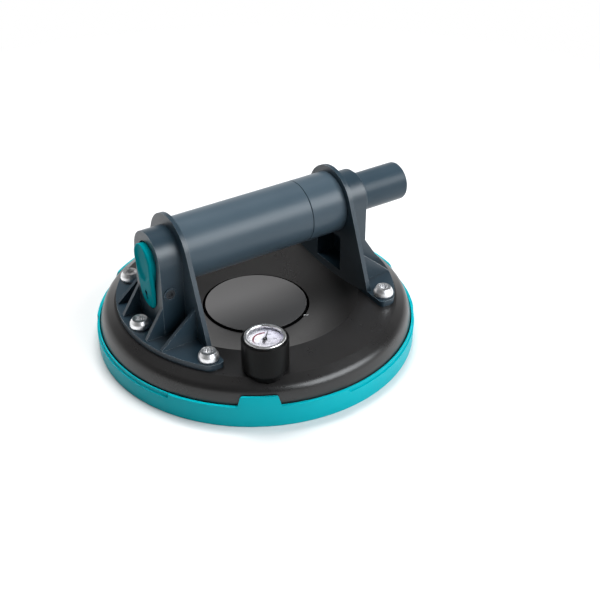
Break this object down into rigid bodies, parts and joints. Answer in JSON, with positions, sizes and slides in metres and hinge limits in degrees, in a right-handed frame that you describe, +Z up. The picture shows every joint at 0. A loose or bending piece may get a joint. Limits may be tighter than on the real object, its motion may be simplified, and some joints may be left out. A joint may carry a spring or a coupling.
{
  "type": "floor tile suction lifter",
  "caption": "Hand-held vacuum lifter for floor tiles: a round suction head under a bridge handle with a push pump, a gauge, a release lever and a clip-on cover.",
  "frame": {"origin": "centre of the protective cover's underside, on the suction head's axis", "axes": "+Z up through the suction head, +X along the handle towards the pump's plunger, +Y away from the gauge"},
  "size_m": [0.2249, 0.2158, 0.1065],
  "materials": {
    "moulded_black": "fine moulded grain",
    "bracket_plastic": "smooth satin moulding",
    "cover_plastic": "semi-gloss moulding",
    "lever_plastic": "gloss moulding",
    "pad_rubber": "matte",
    "grip_rubber": "satin",
    "seal_rubber": "matte",
    "pump_plastic": "satin",
    "screw_steel": "bright",
    "plate_metal": "satin",
    "spring_steel": "satin",
    "brass": "turned",
    "poppet_rubber": "matte",
    "filter_felt": "felt",
    "clear_tube": "clear flexible",
    "dial_white": "matte",
    "pointer_black": "matte",
    "lens_clear": "clear",
    "bezel_chrome": "polished",
    "mark_white": "satin"
  },
  "bodies": {
    "base": {"air_filter": "filter_felt", "barrel_seals": "seal_rubber", "base_disc": "moulded_black", "bourdon_tube": "brass", "bracket_left": "bracket_plastic", "bracket_right": "bracket_plastic", "bracket_screws_left": "screw_steel", "bracket_screws_right": "screw_steel", "cap_seal": "seal_rubber", "check_retainer": "pump_plastic", "check_spring": "spring_steel", "filter_cap": "moulded_black", "gauge_bezel": "bezel_chrome", "gauge_case": "moulded_black", "gauge_dial": "dial_white", "gauge_housing": "bracket_plastic", "gauge_lens": "lens_clear", "gauge_seal": "seal_rubber", "gauge_stem": "brass", "grip_collar": "grip_rubber", "grip_sleeve": "grip_rubber", "guide_bushing": "pump_plastic", "index_mark": "mark_white", "lever_pin": "screw_steel", "pad_plate": "plate_metal", "plate_nuts": "screw_steel", "pump_barrel": "pump_plastic", "release_seal": "seal_rubber", "release_spring": "spring_steel", "return_spring": "spring_steel", "suction_pad": "pad_rubber", "tube_fitting": "brass", "vacuum_tube": "clear_tube", "valve_block": "pump_plastic"},
    "plunger": {"plunger": "pump_plastic", "piston": "pump_plastic", "piston_seal": "seal_rubber"},
    "release_lever": {"release_lever": "lever_plastic"},
    "release_stem": {"release_stem": "screw_steel"},
    "check_poppet": {"check_poppet": "poppet_rubber"},
    "pointer": {"gauge_needle": "pointer_black", "needle_spindle": "spring_steel"},
    "cover": {"protective_cover": "cover_plastic", "cover_tabs": "cover_plastic"}
  },
  "joints": [
    {"name": "pump_stroke", "type": "slide", "parent": "base", "child": "plunger", "axis": [-1, 0, 0], "range_m": [0, 0.035], "stiffness_N_per_m": 500, "springref_m": -0.02, "deforming": ["return_spring"]},
    {"name": "release_press", "type": "hinge", "parent": "base", "child": "release_lever", "pos_m": [-0.0721, 0, 0.0626], "axis": [0, 1, 0], "range_deg": [0, 6], "stiffness_Nm_per_rad": 0.4, "springref_deg": -5.73},
    {"name": "release_stem_slide", "type": "slide", "parent": "base", "child": "release_stem", "axis": [1, 0, 0], "range_m": [0, 0.0025], "deforming": ["release_spring"]},
    {"name": "check_lift", "type": "slide", "parent": "base", "child": "check_poppet", "axis": [1, 0, 0], "range_m": [0, 0.0015], "stiffness_N_per_m": 100, "springref_m": -0.005, "deforming": ["check_spring"]},
    {"name": "gauge_pointer", "type": "hinge", "parent": "base", "child": "pointer", "pos_m": [-0.0392, -0.0768, 0.0509], "axis": [0, 0, 1], "range_deg": [-124, 146]},
    {"name": "cover_off", "type": "slide", "parent": "base", "child": "cover", "axis": [0, 0, -1], "range_m": [0, 0.03], "deforming": ["cover_tabs"]}
  ],
  "couplings": [
    {"joint": "release_stem_slide", "follows": "release_press", "m_per_rad": 0.02}
  ]
}
